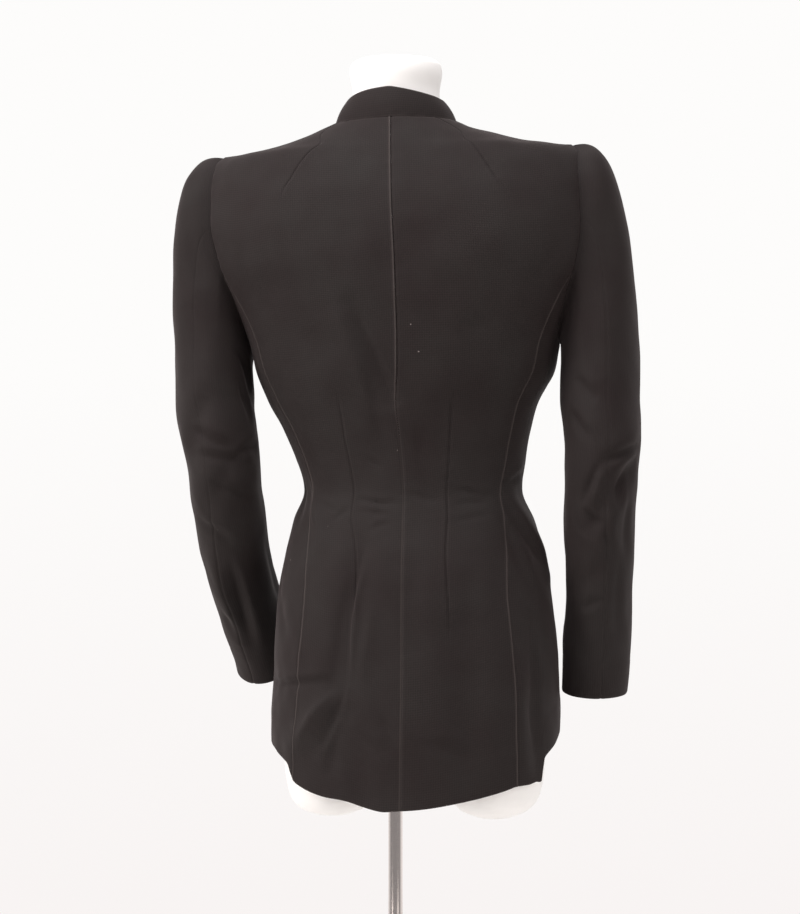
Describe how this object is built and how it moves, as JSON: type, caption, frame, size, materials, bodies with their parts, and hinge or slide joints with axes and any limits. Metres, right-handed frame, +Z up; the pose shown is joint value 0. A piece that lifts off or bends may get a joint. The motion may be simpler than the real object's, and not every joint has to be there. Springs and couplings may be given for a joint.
{
  "type": "blazer on dress form stand",
  "caption": "Fitted long blazer with a stand band collar, padded shoulders and two-piece sleeves, buttoned on a limbless dress form with a pole and round base.",
  "frame": {"origin": "Centre of the underside of the base plate, on the floor under the pole.", "axes": "+Z up. -Y is the front of the blazer, +X is the wearer's left."},
  "size_m": [0.5172, 0.34, 1.529],
  "materials": {
    "cloth": "fine black wool suiting, matt, plain weave",
    "button": "black resin with a dished face",
    "form_skin": "smooth off-white satin shell",
    "chrome": "polished chrome plate",
    "base_plate": "chromed steel plate"
  },
  "bodies": {
    "root": {"back_left": "cloth", "back_right": "cloth", "side_left": "cloth", "side_right": "cloth", "front_left": "cloth", "front_right": "cloth", "collar": "cloth", "top_sleeve_left": "cloth", "top_sleeve_right": "cloth", "under_sleeve_left": "cloth", "under_sleeve_right": "cloth", "button_1": "button", "button_2": "button", "button_3": "button", "dress_form": "form_skin", "pole": "chrome", "pole_socket": "chrome", "base_plate": "base_plate"}
  },
  "joints": []
}
